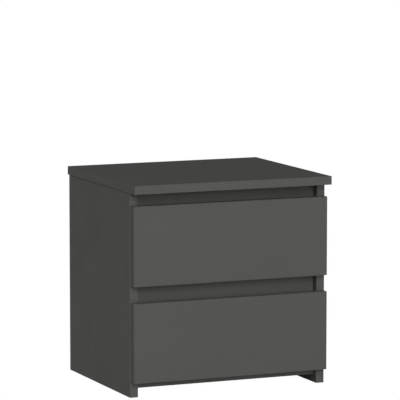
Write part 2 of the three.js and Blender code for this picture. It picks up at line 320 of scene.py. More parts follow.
GRAPHITE = (0.0702, 0.0698, 0.0650)
WHITE = (0.66, 0.655, 0.63)
M = {
    "lam": laminate("graphite_melamine", GRAPHITE, 0.50),
    "band": band("graphite_edge_band", shade(GRAPHITE, 1.01), 0.48, 0.10),
    "seam": seam_material("graphite_glue_line", GRAPHITE),
    "chip": chipboard("raw_chipboard"),
    "wlam": laminate("white_melamine", WHITE, 0.42, emboss=0.28),
    "wband": band("white_edge_band", shade(WHITE, 1.02), 0.38, 0.10),
    "wseam": seam_material("white_glue_line", shade(WHITE, 0.8)),
    "hdf_raw": hardboard("brown_hardboard", (0.315, 0.205, 0.115), (0.205, 0.125, 0.066)),
    "hdf_edge": hardboard("hardboard_cut_edge", (0.22, 0.135, 0.07), (0.12, 0.07, 0.035), 0.85),
    "hdf_white": hardboard("white_lacquered_hardboard", (0.68, 0.675, 0.65), (0.60, 0.595, 0.57), 0.40, 0.12),
    "hdf_grey": hardboard("graphite_lacquered_hardboard", shade(GRAPHITE, 1.05), shade(GRAPHITE, 0.9), 0.5, 0.2),
    "steel": coated_steel("white_epoxy_steel", (0.76, 0.76, 0.735)),
    "nylon": nylon("white_nylon", (0.74, 0.735, 0.70)),
    "rivet": plated("zinc_plated_rivet", (0.56, 0.57, 0.58)),
    "bolt": plated("zinc_plated_bolt", (0.50, 0.51, 0.52), 0.36, (1, 1, 6)),
    "cam": plated("tumbled_die_cast_zinc", (0.64, 0.65, 0.66), 0.50, None, (0.55, 0.55, 0.54)),
    "screw": plated("yellow_zinc_screw", (0.68, 0.66, 0.58), 0.38, None, (0.60, 0.50, 0.27)),
    "nail": plated("bright_nail", (0.62, 0.62, 0.62), 0.44),
}

# =====================================================================================
# mesh helpers
# =====================================================================================
def make_object(name, bm, mats, smooth_angle=None):
    me = bpy.data.meshes.new(name)
    bm.normal_update()
    bm.to_mesh(me)
    bm.free()
    for m in mats:
        me.materials.append(m)
    ob = bpy.data.objects.new(name, me)
    coll.objects.link(ob)
    if smooth_angle is not None:
        smooth(ob, smooth_angle)
    return ob


def smooth(ob, angle=35.0):
    """Smooth shading with edges above the angle kept sharp."""
    me = ob.data
    bm = bmesh.new()
    bm.from_mesh(me)
    lim = math.radians(angle)
    for f in bm.faces:
        f.smooth = True
    for e in bm.edges:
        e.smooth = not (len(e.link_faces) == 2 and e.calc_face_angle(0.0) > lim)
    bm.to_mesh(me)
    bm.free()


def finish_piece(ob, body, nodes=()):
    if nodes:
        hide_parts(*nodes)
    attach(ob, body)
    return ob


def apply_boolean(ob, cutters, operation="DIFFERENCE"):
    """Cuts ob by each cutter object, in order, and removes the cutters."""
    for c in cutters:
        mod = ob.modifiers.new("cut", "BOOLEAN")
        mod.object = c
        mod.operation = operation
        mod.solver = "EXACT"
    bpy.context.view_layer.update()
    dg = bpy.context.evaluated_depsgraph_get()
    me = bpy.data.meshes.new_from_object(ob.evaluated_get(dg), preserve_all_data_layers=True, depsgraph=dg)
    ob.modifiers.clear()
    old = ob.data
    ob.data = me
    bpy.data.meshes.remove(old)
    for c in cutters:
        d = c.data
        bpy.data.objects.remove(c)
        bpy.data.meshes.remove(d)
    return ob


def cylinder_object(axis, at, r, lo, hi, seg, mats, index):
    """A plain cylinder used only as a cutter: from lo to hi along the axis, through at."""
    bm = bmesh.new()
    rings = []
    for a in (lo, hi):
        ring = []
        for k in range(seg):
            t = 2 * math.pi * k / seg
            u, v = r * math.cos(t), r * math.sin(t)
            p = {"x": (a, at[1] + u, at[2] + v), "y": (at[0] + v, a, at[2] + u), "z": (at[0] + u, at[1] + v, a)}[axis]
            ring.append(bm.verts.new(p))
        rings.append(ring)
    for k in range(seg):
        j = (k + 1) % seg
        bm.faces.new((rings[0][k], rings[0][j], rings[1][j], rings[1][k]))
    bm.faces.new(list(reversed(rings[0])))
    bm.faces.new(rings[1])
    for f in bm.faces:
        f.material_index = index
    bmesh.ops.recalc_face_normals(bm, faces=bm.faces)
    return make_object("cutter", bm, mats)


def box_object(lo, hi, mats, index=0):
    bm = bmesh.new()
    vs = [bm.verts.new((x, y, z)) for x in (lo[0], hi[0]) for y in (lo[1], hi[1]) for z in (lo[2], hi[2])]
    for q in ((0, 1, 3, 2), (4, 6, 7, 5), (0, 4, 5, 1), (2, 3, 7, 6), (0, 2, 6, 4), (1, 5, 7, 3)):
        bm.faces.new([vs[i] for i in q]).material_index = index
    bmesh.ops.recalc_face_normals(bm, faces=bm.faces)
    return make_object("cutter", bm, mats)


LAM, BAND, SEAM, RAW = 0, 1, 2, 3
BAND_W = 0.8 * MM
SEAM_W = 0.13 * MM


def board_mesh(lo, hi, t, banded, radius=0.38 * MM, segments=3, notch=None):
    """A board between two corners. t is the thickness axis, banded the set of (axis, end) edges that carry an edge band.
    Faces get the laminate, the band strips and glue lines along banded edges, and raw chipboard on the other edges."""
    axes = [a for a in range(3) if a != t]
    cuts = {t: [lo[t], hi[t]]}
    for a in axes:
        c = [lo[a]]
        if (a, 0) in banded:
            c += [lo[a] + BAND_W, lo[a] + BAND_W + SEAM_W]
        if (a, 1) in banded:
            c += [hi[a] - BAND_W - SEAM_W, hi[a] - BAND_W]
        cuts[a] = c + [hi[a]]
    bm = bmesh.new()
    verts = {}

    def v(i, j, k):
        key = (i, j, k)
        if key not in verts:
            verts[key] = bm.verts.new((cuts[0][i], cuts[1][j], cuts[2][k]))
        return verts[key]

    n = [len(cuts[a]) - 1 for a in range(3)]

    def zone(a, k):
        """Which strip of axis a the cell k lies in: band, seam or face."""
        mid = (cuts[a][k] + cuts[a][k + 1]) / 2
        for end in (0, 1):
            if (a, end) in banded:
                d = mid - lo[a] if end == 0 else hi[a] - mid
                if d < BAND_W:
                    return BAND
                if d < BAND_W + SEAM_W:
                    return SEAM
        return LAM

    for a in range(3):
        b, c = [(1, 2), (2, 0), (0, 1)][a]
        for end in (0, 1):
            for j in range(n[b]):
                for k in range(n[c]):
                    corner = []
                    for dj, dk in ((0, 0), (1, 0), (1, 1), (0, 1)):
                        idx = [0, 0, 0]
                        idx[a], idx[b], idx[c] = end * n[a], j + dj, k + dk
                        corner.append(v(*idx))
                    if end == 0:
                        corner.reverse()
                    f = bm.faces.new(corner)
                    if a == t:
                        zb, zc = zone(b, j), zone(c, k)
                        f.material_index = BAND if BAND in (zb, zc) else SEAM if SEAM in (zb, zc) else LAM
                    else:
                        f.material_index = BAND if (a, end) in banded else RAW
    outer = [e for e in bm.edges if e.calc_face_angle(0.0) > 1.0]
    bmesh.ops.bevel(bm, geom=outer, offset=radius, offset_type="OFFSET", segments=segments, profile=0.5, affect="EDGES", clamp_overlap=True)
    bm.normal_update()
    for f in bm.faces:
        nrm = f.normal
        if max(abs(x) for x in nrm) < 0.9999:
            f.smooth = True
            c = f.calc_center_median()
            near = None
            for a in axes:
                for end, e in ((0, lo[a]), (1, hi[a])):
                    if abs(c[a] - e) < radius * 1.01 and abs(nrm[a]) > 0.05:
                        near = BAND if (a, end) in banded else (near or RAW)
            f.material_index = near if near is not None else LAM
    return bm


def board(name, node, body, banded, mats, cutters=(), t=None, extra_nodes=()):
    lo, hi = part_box(node)
    size = hi - lo
    t = min(range(3), key=lambda i: size[i]) if t is None else t
    ob = make_object(name, board_mesh(lo, hi, t, banded), mats)
    if cutters:
        apply_boolean(ob, [c(mats) for c in cutters])
    return finish_piece(ob, body, (node, *extra_nodes))


GREY = [M["lam"], M["band"], M["seam"], M["chip"]]
PALE = [M["wlam"], M["wband"], M["wseam"], M["chip"]]
X, Y, Z = 0, 1, 2


def drill(axis, at, r, lo, hi, seg=40):
    """A cutter maker for board(): a round hole, its wall raw chipboard."""
    return lambda mats: cylinder_object(axis, at, r, min(lo, hi), max(lo, hi), seg, mats, RAW)


def lathe(profile, axis, at, seg=48, flip=False):
    """A turned bmesh. profile is [(radius, position)] along the axis; a closed ring if its ends are off the axis."""
    bm = bmesh.new()
    closed = profile[0][0] > 1e-9
    rings = []
    pts = profile[:-1] if closed and profile[0] == profile[-1] else profile
    for r, a in pts:
        a = -a if flip else a
        if r < 1e-9:
            u = v = 0.0
            ring = [bm.verts.new(_on(axis, at, a, 0, 0))]
        else:
            ring = [bm.verts.new(_on(axis, at, a, r * math.cos(2 * math.pi * k / seg), r * math.sin(2 * math.pi * k / seg))) for k in range(seg)]
        rings.append(ring)
    pairs = list(zip(rings, rings[1:])) + ([(rings[-1], rings[0])] if closed else [])
    for p, q in pairs:
        for k in range(seg):
            j = (k + 1) % seg
            if len(p) == 1 and len(q) == 1:
                continue
            if len(p) == 1:
                bm.faces.new((p[0], q[k], q[j]))
            elif len(q) == 1:
                bm.faces.new((p[k], p[j], q[0]))
            else:
                bm.faces.new((p[k], p[j], q[j], q[k]))
    bmesh.ops.recalc_face_normals(bm, faces=bm.faces)
    return bm


def _on(axis, at, a, u, v):
    if axis == "x":
        return (at[0] + a, at[1] + u, at[2] + v)
    if axis == "y":
        return (at[0] + u, at[1] + a, at[2] + v)
    return (at[0] + u, at[1] + v, at[2] + a)


def merged(name, bms, mats, angle=35.0):
    """One mesh from several bmeshes, each a separate island."""
    me = bpy.data.meshes.new(name)
    out = bmesh.new()
    for bm in bms:
        tmp = bpy.data.meshes.new("tmp")
        bm.to_mesh(tmp)
        bm.free()
        out.from_mesh(tmp)
        bpy.data.meshes.remove(tmp)
    out.to_mesh(me)
    out.free()
    for m in mats:
        me.materials.append(m)
    ob = bpy.data.objects.new(name, me)
    coll.objects.link(ob)
    smooth(ob, angle)
    return ob


_templates = {}


def template(key, build):
    """A small fastener made once, its axis along +Z with the outer face at 0 looking to +Z, kept as a mesh."""
    if key not in _templates:
        ob = build()
        _templates[key] = ob.data
        bpy.data.objects.remove(ob)
    return _templates[key]


def placed(mesh, at, facing, toward=None, spin=0.0):
    """A copy of a template as a bmesh: outer face at `at`, looking along `facing`, its local -Y turned towards `toward`."""
    bm = bmesh.new()
    bm.from_mesh(mesh)
    z = Vector(facing).normalized()
    if toward is None:
        rot = Vector((0, 0, 1)).rotation_difference(z).to_matrix()
    else:
        y = -Vector(toward).normalized()
        x = y.cross(z)
        rot = Matrix((x, y, z)).transposed()
    bm.transform(Matrix.Translation(Vector(at)) @ rot.to_4x4() @ Matrix.Rotation(spin, 4, "Z"))
    return bm


def cross_cutters(width, slot, depth, mats):
    """Two tapered blades that cut a cross recess, mouth at z = 0."""
    made = []
    for k in range(2):
        bm = bmesh.new()
        a, s = width / 2, slot / 2
        top = [(-a, -s), (a, -s), (a, s), (-a, s)]
        low = [(-a * 0.45, -s * 0.7), (a * 0.45, -s * 0.7), (a * 0.45, s * 0.7), (-a * 0.45, s * 0.7)]
        up = [bm.verts.new((x, y, depth * 0.3)) for x, y in top]
        dn = [bm.verts.new((x, y, -depth)) for x, y in low]
        for i in range(4):
            j = (i + 1) % 4
            bm.faces.new((up[i], up[j], dn[j], dn[i]))
        bm.faces.new(up)
        bm.faces.new(dn)
        bm.transform(Matrix.Rotation(k * math.pi / 2, 4, "Z"))
        bmesh.ops.recalc_face_normals(bm, faces=bm.faces)
        made.append(make_object("cutter", bm, mats))
    return made


def pan_screw(r, h):
    """Low pan head with a cross recess."""
    def build():
        prof = [(0.0, -1.2 * MM), (r * 0.55, -1.2 * MM), (r * 0.55, -h), (r * 0.93, -h), (r, -h * 0.85), (r * 0.97, -h * 0.45), (r * 0.80, -h * 0.12), (r * 0.45, -h * 0.01), (0.0, 0.0)]
        ob = make_object("screw", lathe(prof, "z", (0, 0, 0), 32), [M["screw"]])
        apply_boolean(ob, cross_cutters(r * 1.15, r * 0.24, h * 0.9, [M["screw"]]))
        return ob
    return template(("pan", r, h), build)


def flat_screw(r, depth=0.9 * MM):
    """Countersunk head, flush, with a cross recess."""
    def build():
        prof = [(0.0, -depth * 1.9), (r * 0.5, -depth * 1.9), (r * 0.5, -depth), (r * 0.97, -0.15 * MM), (r, 0.0), (r * 0.9, 0.03 * MM), (0.0, 0.04 * MM)]
        ob = make_object("screw", lathe(prof, "z", (0, 0, 0), 32), [M["screw"]])
        apply_boolean(ob, cross_cutters(r * 1.15, r * 0.26, depth * 0.9, [M["screw"]]))
        return ob
    return template(("flat", r), build)


def confirmat():
    """Furniture screw head, 7 mm, with a hexagon socket."""
    def build():
        r = 3.5 * MM
        prof = [(0.0, -5 * MM), (2.3 * MM, -5 * MM), (2.5 * MM, -2.2 * MM), (r, -0.5 * MM), (r, -0.15 * MM), (r * 0.95, 0.0), (0.0, 0.0)]
        ob = make_object("screw", lathe(prof, "z", (0, 0, 0), 36), [M["bolt"]])
        hexa = lathe([(0.0, -2.2 * MM), (2.0 * MM, -1.9 * MM), (2.3 * MM, 0.5 * MM), (0.0, 0.5 * MM)], "z", (0, 0, 0), 6)
        apply_boolean(ob, [make_object("cutter", hexa, [M["bolt"]])])
        return ob
    return template("confirmat", build)


def cam_lock(r=7.2 * MM, depth=12.2 * MM):
    """Die-cast cam: chamfered rim, sunk face ring, cross recess and a pointer notch, with the bolt pocket in its side."""
    def build():
        prof = [(0.0, -depth), (r - 0.5 * MM, -depth), (r, -depth + 0.5 * MM), (r, -0.5 * MM), (r - 0.4 * MM, -0.05 * MM), (r - 1.3 * MM, -0.05 * MM), (r - 1.6 * MM, -0.55 * MM), (0.0, -0.55 * MM)]
        ob = make_object("cam", lathe(prof, "z", (0, 0, 0), 56), [M["cam"]])
        cuts = cross_cutters(8.6 * MM, 1.5 * MM, 3.2 * MM, [M["cam"]])
        for c in cuts:
            c.data.transform(Matrix.Translation((0, 0, -0.5 * MM)))
        cuts.append(box_object((-0.45 * MM, r - 2.6 * MM, -1.1 * MM), (0.45 * MM, r + 1 * MM, 1 * MM), [M["cam"]]))
        # pocket that takes the bolt's head, towards local -Y
        cuts.append(box_object((-3.4 * MM, -r - 1 * MM, -8 * MM - 3.4 * MM), (3.4 * MM, 3.5 * MM, -8 * MM + 3.4 * MM), [M["cam"]]))
        apply_boolean(ob, cuts)
        return ob
    return template("cam", build)


def cam_bolt():
    """Connecting bolt: coarse thread behind the face it is driven into, collar, shank, waisted head."""
    p = [(0.0, -10.5), (1.3, -10.4), (2.05, -9.7)]
    a = -9.5
    while a < -1.3:
        p += [(2.05, a), (2.72, a + 0.45), (2.78, a + 0.6), (2.05, a + 1.05)]
        a += 1.25
    p += [(2.05, -0.5), (2.75, -0.15), (2.75, 0.0), (3.4, 0.0), (3.6, 0.15), (3.6, 1.1), (3.45, 1.25), (2.5, 1.25), (2.5, 29.2), (2.3, 29.6),
          (1.75, 30.0), (1.7, 30.3), (1.7, 31.9), (2.2, 32.15), (2.85, 32.75), (3.0, 33.3), (3.0, 34.9), (2.75, 35.6), (2.1, 36.1), (1.2, 36.4), (0.0, 36.5)]
    return [(r * MM, a * MM) for r, a in p]


def nail_head(r=1.45 * MM):
    def build():
        prof = [(0.0, -0.9 * MM), (0.75 * MM, -0.9 * MM), (0.75 * MM, -0.05 * MM), (r * 0.96, 0.0), (r, 0.14 * MM), (r * 0.92, 0.27 * MM), (r * 0.4, 0.33 * MM), (0.0, 0.34 * MM)]
        return make_object("nail", lathe(prof, "z", (0, 0, 0), 20), [M["nail"]])
    return template("nail", build)


# =====================================================================================
# carcass
# =====================================================================================
BODY = "carcass"
top_lo, top_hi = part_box("top_panel")
side = {s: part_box(f"{s}_side_panel") for s in ("left", "right")}
SIGN = {"left": -1, "right": 1}
ENDS = ("front", "rear")
bot_lo, bot_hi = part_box("bottom_panel")
cam_hole_r = 7.55 * MM
bolt_hole_r = 4.0 * MM
thread_r = 3.1 * MM


def centre(node):
    lo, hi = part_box(node)
    return (lo + hi) / 2


# top panel, with the threaded holes under it
cut = []
for s in SIGN:
    for e in ENDS:
        c = centre(f"top_bolt_{s}_{e}")
        cut.append(drill("z", c, thread_r, top_lo.z - 2 * MM, top_lo.z + 11 * MM, 24))
board("top_board", "top_panel", BODY, {(X, 0), (X, 1), (Y, 0), (Y, 1)}, GREY, cut)

# side panels
for s, sg in SIGN.items():
    lo, hi = side[s]
    inner = hi.x if sg < 0 else lo.x
    cut = []
    for e in ENDS:
        c = centre(f"top_cam_{s}_{e}")
        cut.append(drill("x", c, cam_hole_r, inner - sg * 2 * MM, inner + sg * 12.5 * MM, 56))
        b = centre(f"top_bolt_{s}_{e}")
        cut.append(drill("z", b, bolt_hole_r, hi.z - 34 * MM, hi.z + 2 * MM, 24))
        d = centre(f"bottom_bolt_{s}_{e}")
        cut.append(drill("x", d, thread_r, inner - sg * 2 * MM, inner + sg * 11 * MM, 24))
    outer = lo.x if sg < 0 else hi.x

    def joint_line(mats, outer=outer, sg=sg, lo=lo, hi=hi):
        """The shadow line under the top: the side's upper end is eased along its outer face."""
        a, b = outer + sg * 1 * MM, outer - sg * 3 * MM
        return box_object((min(a, b), lo.y - 2 * MM, hi.z - 0.75 * MM), (max(a, b), hi.y + 2 * MM, hi.z + 1 * MM), mats, RAW)

    cut.append(joint_line)
    board(f"{s}_side_board", f"{s}_side_panel", BODY, {(Y, 0), (Z, 0)}, GREY, cut)

# bottom panel
cut = []
for s, sg in SIGN.items():
    end_x = sg * bot_hi.x
    for e in ENDS:
        b = centre(f"bottom_bolt_{s}_{e}")
        cut.append(drill("x", b, bolt_hole_r, end_x + sg * 2 * MM, end_x - sg * 34 * MM, 24))
        c = centre(f"bottom_cam_{s}_{e}")
        cut.append(drill("z", c, cam_hole_r, bot_lo.z - 2 * MM, bot_lo.z + 12.5 * MM, 56))
board("bottom_board", "bottom_panel", BODY, {(Y, 0)}, GREY, cut)

board("upper_rail_board", "upper_rail", BODY, {(Z, 0)}, GREY)
board("middle_rail_board", "middle_rail", BODY, {(Z, 0), (Z, 1)}, GREY)

# cam locks and their bolts
for s, sg in SIGN.items():
    for e in ENDS:
        lo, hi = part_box(f"top_cam_{s}_{e}")
        c = (lo + hi) / 2
        face = hi.x if sg < 0 else lo.x
        bm = placed(cam_lock(), (face, c.y, c.z), (-sg, 0, 0), (0, 0, 1))
        finish_piece(merged(f"top_cam_lock_{s}_{e}", [bm], [M["cam"]]), BODY, (f"top_cam_{s}_{e}",))
        lo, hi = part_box(f"bottom_cam_{s}_{e}")
        c = (lo + hi) / 2
        bm = placed(cam_lock(), (c.x, c.y, lo.z), (0, 0, -1), (sg, 0, 0))
        finish_piece(merged(f"bottom_cam_lock_{s}_{e}", [bm], [M["cam"]]), BODY, (f"bottom_cam_{s}_{e}",))
        b = centre(f"top_bolt_{s}_{e}")
        bm = lathe(cam_bolt(), "z", (b.x, b.y, top_lo.z), 28, flip=True)
        finish_piece(merged(f"top_connecting_bolt_{s}_{e}", [bm], [M["bolt"]], 40), BODY, (f"top_bolt_{s}_{e}",))
        b = centre(f"bottom_bolt_{s}_{e}")
        bm = lathe(cam_bolt(), "x", (sg * bot_hi.x, b.y, b.z), 28, flip=sg > 0)
        finish_piece(merged(f"bottom_connecting_bolt_{s}_{e}", [bm], [M["bolt"]], 40), BODY, (f"bottom_bolt_{s}_{e}",))


def sheet_board(name, node, body, mats, radius=0.2 * MM):
    """A thin fibre sheet. mats are the materials for its -T face, +T face and cut edges, T being its thickness axis."""
    lo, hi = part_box(node)
    size = hi - lo
    t = min(range(3), key=lambda i: size[i])
    bm = board_mesh(lo, hi, t, set(), radius, 2)
    for f in bm.faces:
        n = f.normal[t]
        f.material_index = 0 if n < -0.9 else 1 if n > 0.9 else 2
    return finish_piece(make_object(name, bm, mats), body, (node,))


sheet_board("back_sheet", "back_panel", BODY, [M["hdf_grey"], M["hdf_raw"], M["hdf_edge"]])
back_lo, back_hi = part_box("back_panel")
nails = []
for s, sg in SIGN.items():
    lo, hi = side[s]
    mid = (lo.x + hi.x) / 2 - sg * 1.2 * MM
    for i in range(6):
        z = back_lo.z + 14 * MM + i * (back_hi.z - back_lo.z - 26 * MM) / 5
        nails.append(placed(nail_head(), (mid + random.uniform(-1, 1) * MM, back_hi.y, z + random.uniform(-3, 3) * MM), (random.uniform(-0.05, 0.05), 1, random.uniform(-0.05, 0.05))))
for i in range(4):
    x = back_lo.x + (i + 1) * (back_hi.x - back_lo.x) / 5
    nails.append(placed(nail_head(), (x + random.uniform(-3, 3) * MM, back_hi.y, (bot_lo.z + bot_hi.z) / 2 + random.uniform(-0.8, 0.8) * MM), (random.uniform(-0.05, 0.05), 1, random.uniform(-0.05, 0.05))))
finish_piece(merged("back_nails", nails, [M["nail"]]), BODY)

# =====================================================================================
# roller runners
# =====================================================================================
def bent_sheet(path, t, r, y0, y1, name, seg=5):
    """Pressed sheet: a centreline in X and Z with rounded bends, given thickness, drawn along Y."""
    pts, tang = [], []
    n = len(path)
    for i, p in enumerate(path):
        p = Vector(p)
        if i in (0, n - 1):
            d = (Vector(path[1]) - p if i == 0 else p - Vector(path[-2])).normalized()
            pts.append(p)
            tang.append(d)
            continue
        a, b = (p - Vector(path[i - 1])).normalized(), (Vector(path[i + 1]) - p).normalized()
        turn = a.cross(b)
        start, end = p - a * r, p + b * r
        nrm = Vector((-a.y, a.x)) * (1 if turn > 0 else -1)
        c = start + nrm * r
        for k in range(seg + 1):
            ang = math.pi / 2 * k / seg * (1 if turn > 0 else -1)
            rot = Matrix.Rotation(ang, 2)
            pts.append(c + rot @ (start - c))
            tang.append(rot @ a)
    left = [p + Vector((-d.y, d.x)) * t / 2 for p, d in zip(pts, tang)]
    right = [p - Vector((-d.y, d.x)) * t / 2 for p, d in zip(pts, tang)]
    bm = bmesh.new()
    rings = []
    for y in (y0, y1):
        rings.append([[bm.verts.new((p.x, y, p.y)) for p in left], [bm.verts.new((p.x, y, p.y)) for p in right]])
    k = len(pts)
    for i in range(k - 1):
        for q in (0, 1):
            bm.faces.new((rings[0][q][i], rings[0][q][i + 1], rings[1][q][i + 1], rings[1][q][i]))
        for e in (0, 1):
            bm.faces.new((rings[e][0][i], rings[e][0][i + 1], rings[e][1][i + 1], rings[e][1][i]))
    for i in (0, k - 1):
        bm.faces.new((rings[0][0][i], rings[0][1][i], rings[1][1][i], rings[1][0][i]))
    bmesh.ops.recalc_face_normals(bm, faces=bm.faces)
    return make_object(name, bm, [M["steel"]])


def slot_cutter(axis, at, r, stretch, depth):
    """An oblong through cutter, long along Y, its axis along x or z."""
    bm = bmesh.new()
    seg = 24
    rings = []
    for a in (-depth, depth):
        ring = []
        for k in range(seg):
            t = 2 * math.pi * k / seg
            u, v = r * math.cos(t), r * math.sin(t)
            u += stretch / 2 * (1 if math.cos(t) > 1e-9 else -1 if math.cos(t) < -1e-9 else 0)
            ring.append(bm.verts.new((at[0] + a, at[1] + u, at[2] + v) if axis == "x" else (at[0] + v, at[1] + u, at[2] + a)))
        rings.append(ring)
    for k in range(seg):
        j = (k + 1) % seg
        bm.faces.new((rings[0][k], rings[0][j], rings[1][j], rings[1][k]))
    bm.faces.new(rings[0])
    bm.faces.new(rings[1])
    bmesh.ops.recalc_face_normals(bm, faces=bm.faces)
    return make_object("cutter", bm, [M["steel"]])


def roller_mesh(x0, c, name, tip_side):
    """Moulded wheel 7 mm wide: crowned tread edges, sunk web on both faces with five moulded holes."""
    w = 7.0
    half = [(2.62, 0.0), (4.5, 0.0), (4.8, 0.15), (5.05, 1.5), (8.1, 1.5), (8.4, 0.2), (8.7, 0.0), (9.85, 0.0), (10.3, 0.22), (10.48, 0.62)]
    prof = half + [(r, w - a) for r, a in reversed(half)] + [half[0]]
    ob = make_object(name, lathe([(r * MM, a * MM) for r, a in prof], "x", (x0, c.y, c.z), 64), [M["nylon"]])
    cut = []
    for k in range(5):
        t = 2 * math.pi * (k + 0.25) / 5
        cut.append(cylinder_object("x", (0, c.y + 6.6 * MM * math.cos(t), c.z + 6.6 * MM * math.sin(t)), 1.05 * MM, x0 - 1 * MM, x0 + (w + 1) * MM, 20, [M["nylon"]], 0))
    apply_boolean(ob, cut)
    smooth(ob, 40)
    return ob


for d in ("upper", "lower"):
    body = f"{d}_drawer"
    for s, sg in SIGN.items():
        # cabinet member
        node = f"{d}_{s}_cabinet_runner"
        lo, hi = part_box(node)
        web = hi.x if sg > 0 else lo.x
        lip = lo.x if sg > 0 else hi.x
        base, top = lo.z, hi.z
        t = 1.0 * MM
        h = t / 2
        ob = bent_sheet([(lip, base + h), (web - sg * h, base + h), (web - sg * h, top - h), (lip, top - h)], t, 1.1 * MM, lo.y, hi.y, f"{node}_sheet")
        roller_lo, roller_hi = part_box(f"{d}_{s}_front_roller")
        rear_lo, rear_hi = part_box(f"{d}_{s}_rear_roller")
        relief = box_object((min(lip - sg * t, web - sg * t), lo.y - t, top - 1.05 * MM), (max(lip - sg * t, web - sg * t), roller_hi.y + 2.5 * MM, top + t), [M["steel"]])
        cutters = [relief]
        mid_z = (base + top) / 2
        cab_screws = [lo.y + 45 * MM, (lo.y + hi.y) / 2 + 8 * MM, hi.y - 36 * MM]
        for y in (lo.y + 74 * MM, lo.y + 104 * MM, hi.y - 104 * MM, hi.y - 74 * MM):
            cutters.append(slot_cutter("x", (web - sg * h, y, mid_z), 2.1 * MM, 4.2 * MM, 2.5 * MM))
        apply_boolean(ob, cutters)
        # stop tab pressed up from the lower flange
        tab = box_object((min(lip + sg * 1 * MM, web - sg * 2 * MM), roller_hi.y + 21.6 * MM, base + 0.5 * MM), (max(lip + sg * 1 * MM, web - sg * 2 * MM), roller_hi.y + 22.6 * MM, base + 4.0 * MM), [M["steel"]])
        bm = bmesh.new()
        bm.from_mesh(tab.data)
        bmesh.ops.bevel(bm, geom=[e for e in bm.edges if abs((e.verts[0].co - e.verts[1].co).normalized().y) > 0.9 and e.verts[0].co.z > base + 3 * MM], offset=1.2 * MM, segments=4, profile=0.5, affect="EDGES")
        bm.to_mesh(tab.data)
        bm.free()
        apply_boolean(ob, [tab], "UNION")
        smooth(ob, 30)
        finish_piece(ob, BODY, (node,))
        heads = [placed(flat_screw(3.1 * MM), (web - sg * 1.1 * MM, y, mid_z), (-sg, 0, 0), None, random.uniform(0, 3)) for y in cab_screws]
        finish_piece(merged(f"{node}_screws", heads, [M["screw"]]), BODY)

        # drawer member
        node = f"{d}_{s}_drawer_runner"
        lo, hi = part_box(node)
        inner = lo.x if sg > 0 else hi.x      # foot's inner edge
        outer = hi.x if sg > 0 else lo.x      # upper flange's outer edge
        wall = inner + sg * 13.5 * MM         # middle of the web
        ob = bent_sheet([(inner, lo.z + h), (wall, lo.z + h), (wall, hi.z - h), (outer, hi.z - h)], t, 1.1 * MM, lo.y, hi.y, f"{node}_sheet")
        cutters = []
        foot_x = inner + sg * 6 * MM
        member_screws = [lo.y + 52 * MM, (lo.y + hi.y) / 2, hi.y - 58 * MM]
        for y in (lo.y + 84 * MM, hi.y - 92 * MM):
            cutters.append(slot_cutter("z", (foot_x, y, lo.z + h), 2.0 * MM, 4.0 * MM, 2.5 * MM))
        apply_boolean(ob, cutters)
        smooth(ob, 30)
        finish_piece(ob, body, (node,))
        heads = [placed(flat_screw(3.0 * MM), (foot_x, y, lo.z - 0.1 * MM), (0, 0, -1), None, random.uniform(0, 3)) for y in member_screws]
        finish_piece(merged(f"{node}_screws", heads, [M["screw"]]), body)

        # rollers, each on its own body
        for which, (rlo, rhi) in (("front", (roller_lo, roller_hi)), ("rear", (rear_lo, rear_hi))):
            rn = f"{d}_{s}_{which}_roller"
            c = (rlo + rhi) / 2
            finish_piece(roller_mesh(rlo.x, c, f"{rn}_wheel", sg), rn, (rn,))
            pn = f"{rn}_pin"
            plo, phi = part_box(pn)
            # front pins are rooted on the cabinet web, rear pins on the drawer member's web
            to = -sg if which == "front" else sg
            root = (phi.x if to < 0 else plo.x)
            a0 = abs((rhi.x if to < 0 else rlo.x) - root) - 0.3 * MM
            a1 = abs((rlo.x if to < 0 else rhi.x) - root) + 0.3 * MM
            a2 = phi.x - plo.x
            prof = [(0.0, 0.0), (4.0 * MM, 0.0), (4.0 * MM, a0 - 0.15 * MM), (3.85 * MM, a0), (2.5 * MM, a0), (2.5 * MM, a1), (4.2 * MM, a1), (4.5 * MM, a1 + 0.15 * MM), (4.4 * MM, a1 + 0.35 * MM), (3.6 * MM, a2 - 0.12 * MM), (2.4 * MM, a2), (1.5 * MM, a2), (1.2 * MM, a2 - 0.25 * MM), (0.0, a2 - 0.3 * MM)]
            bm = lathe(prof, "x", (root, c.y, c.z), 40, flip=to < 0)
            finish_piece(merged(f"{pn}_rivet", [bm], [M["rivet"]]), BODY if which == "front" else body, (pn,))

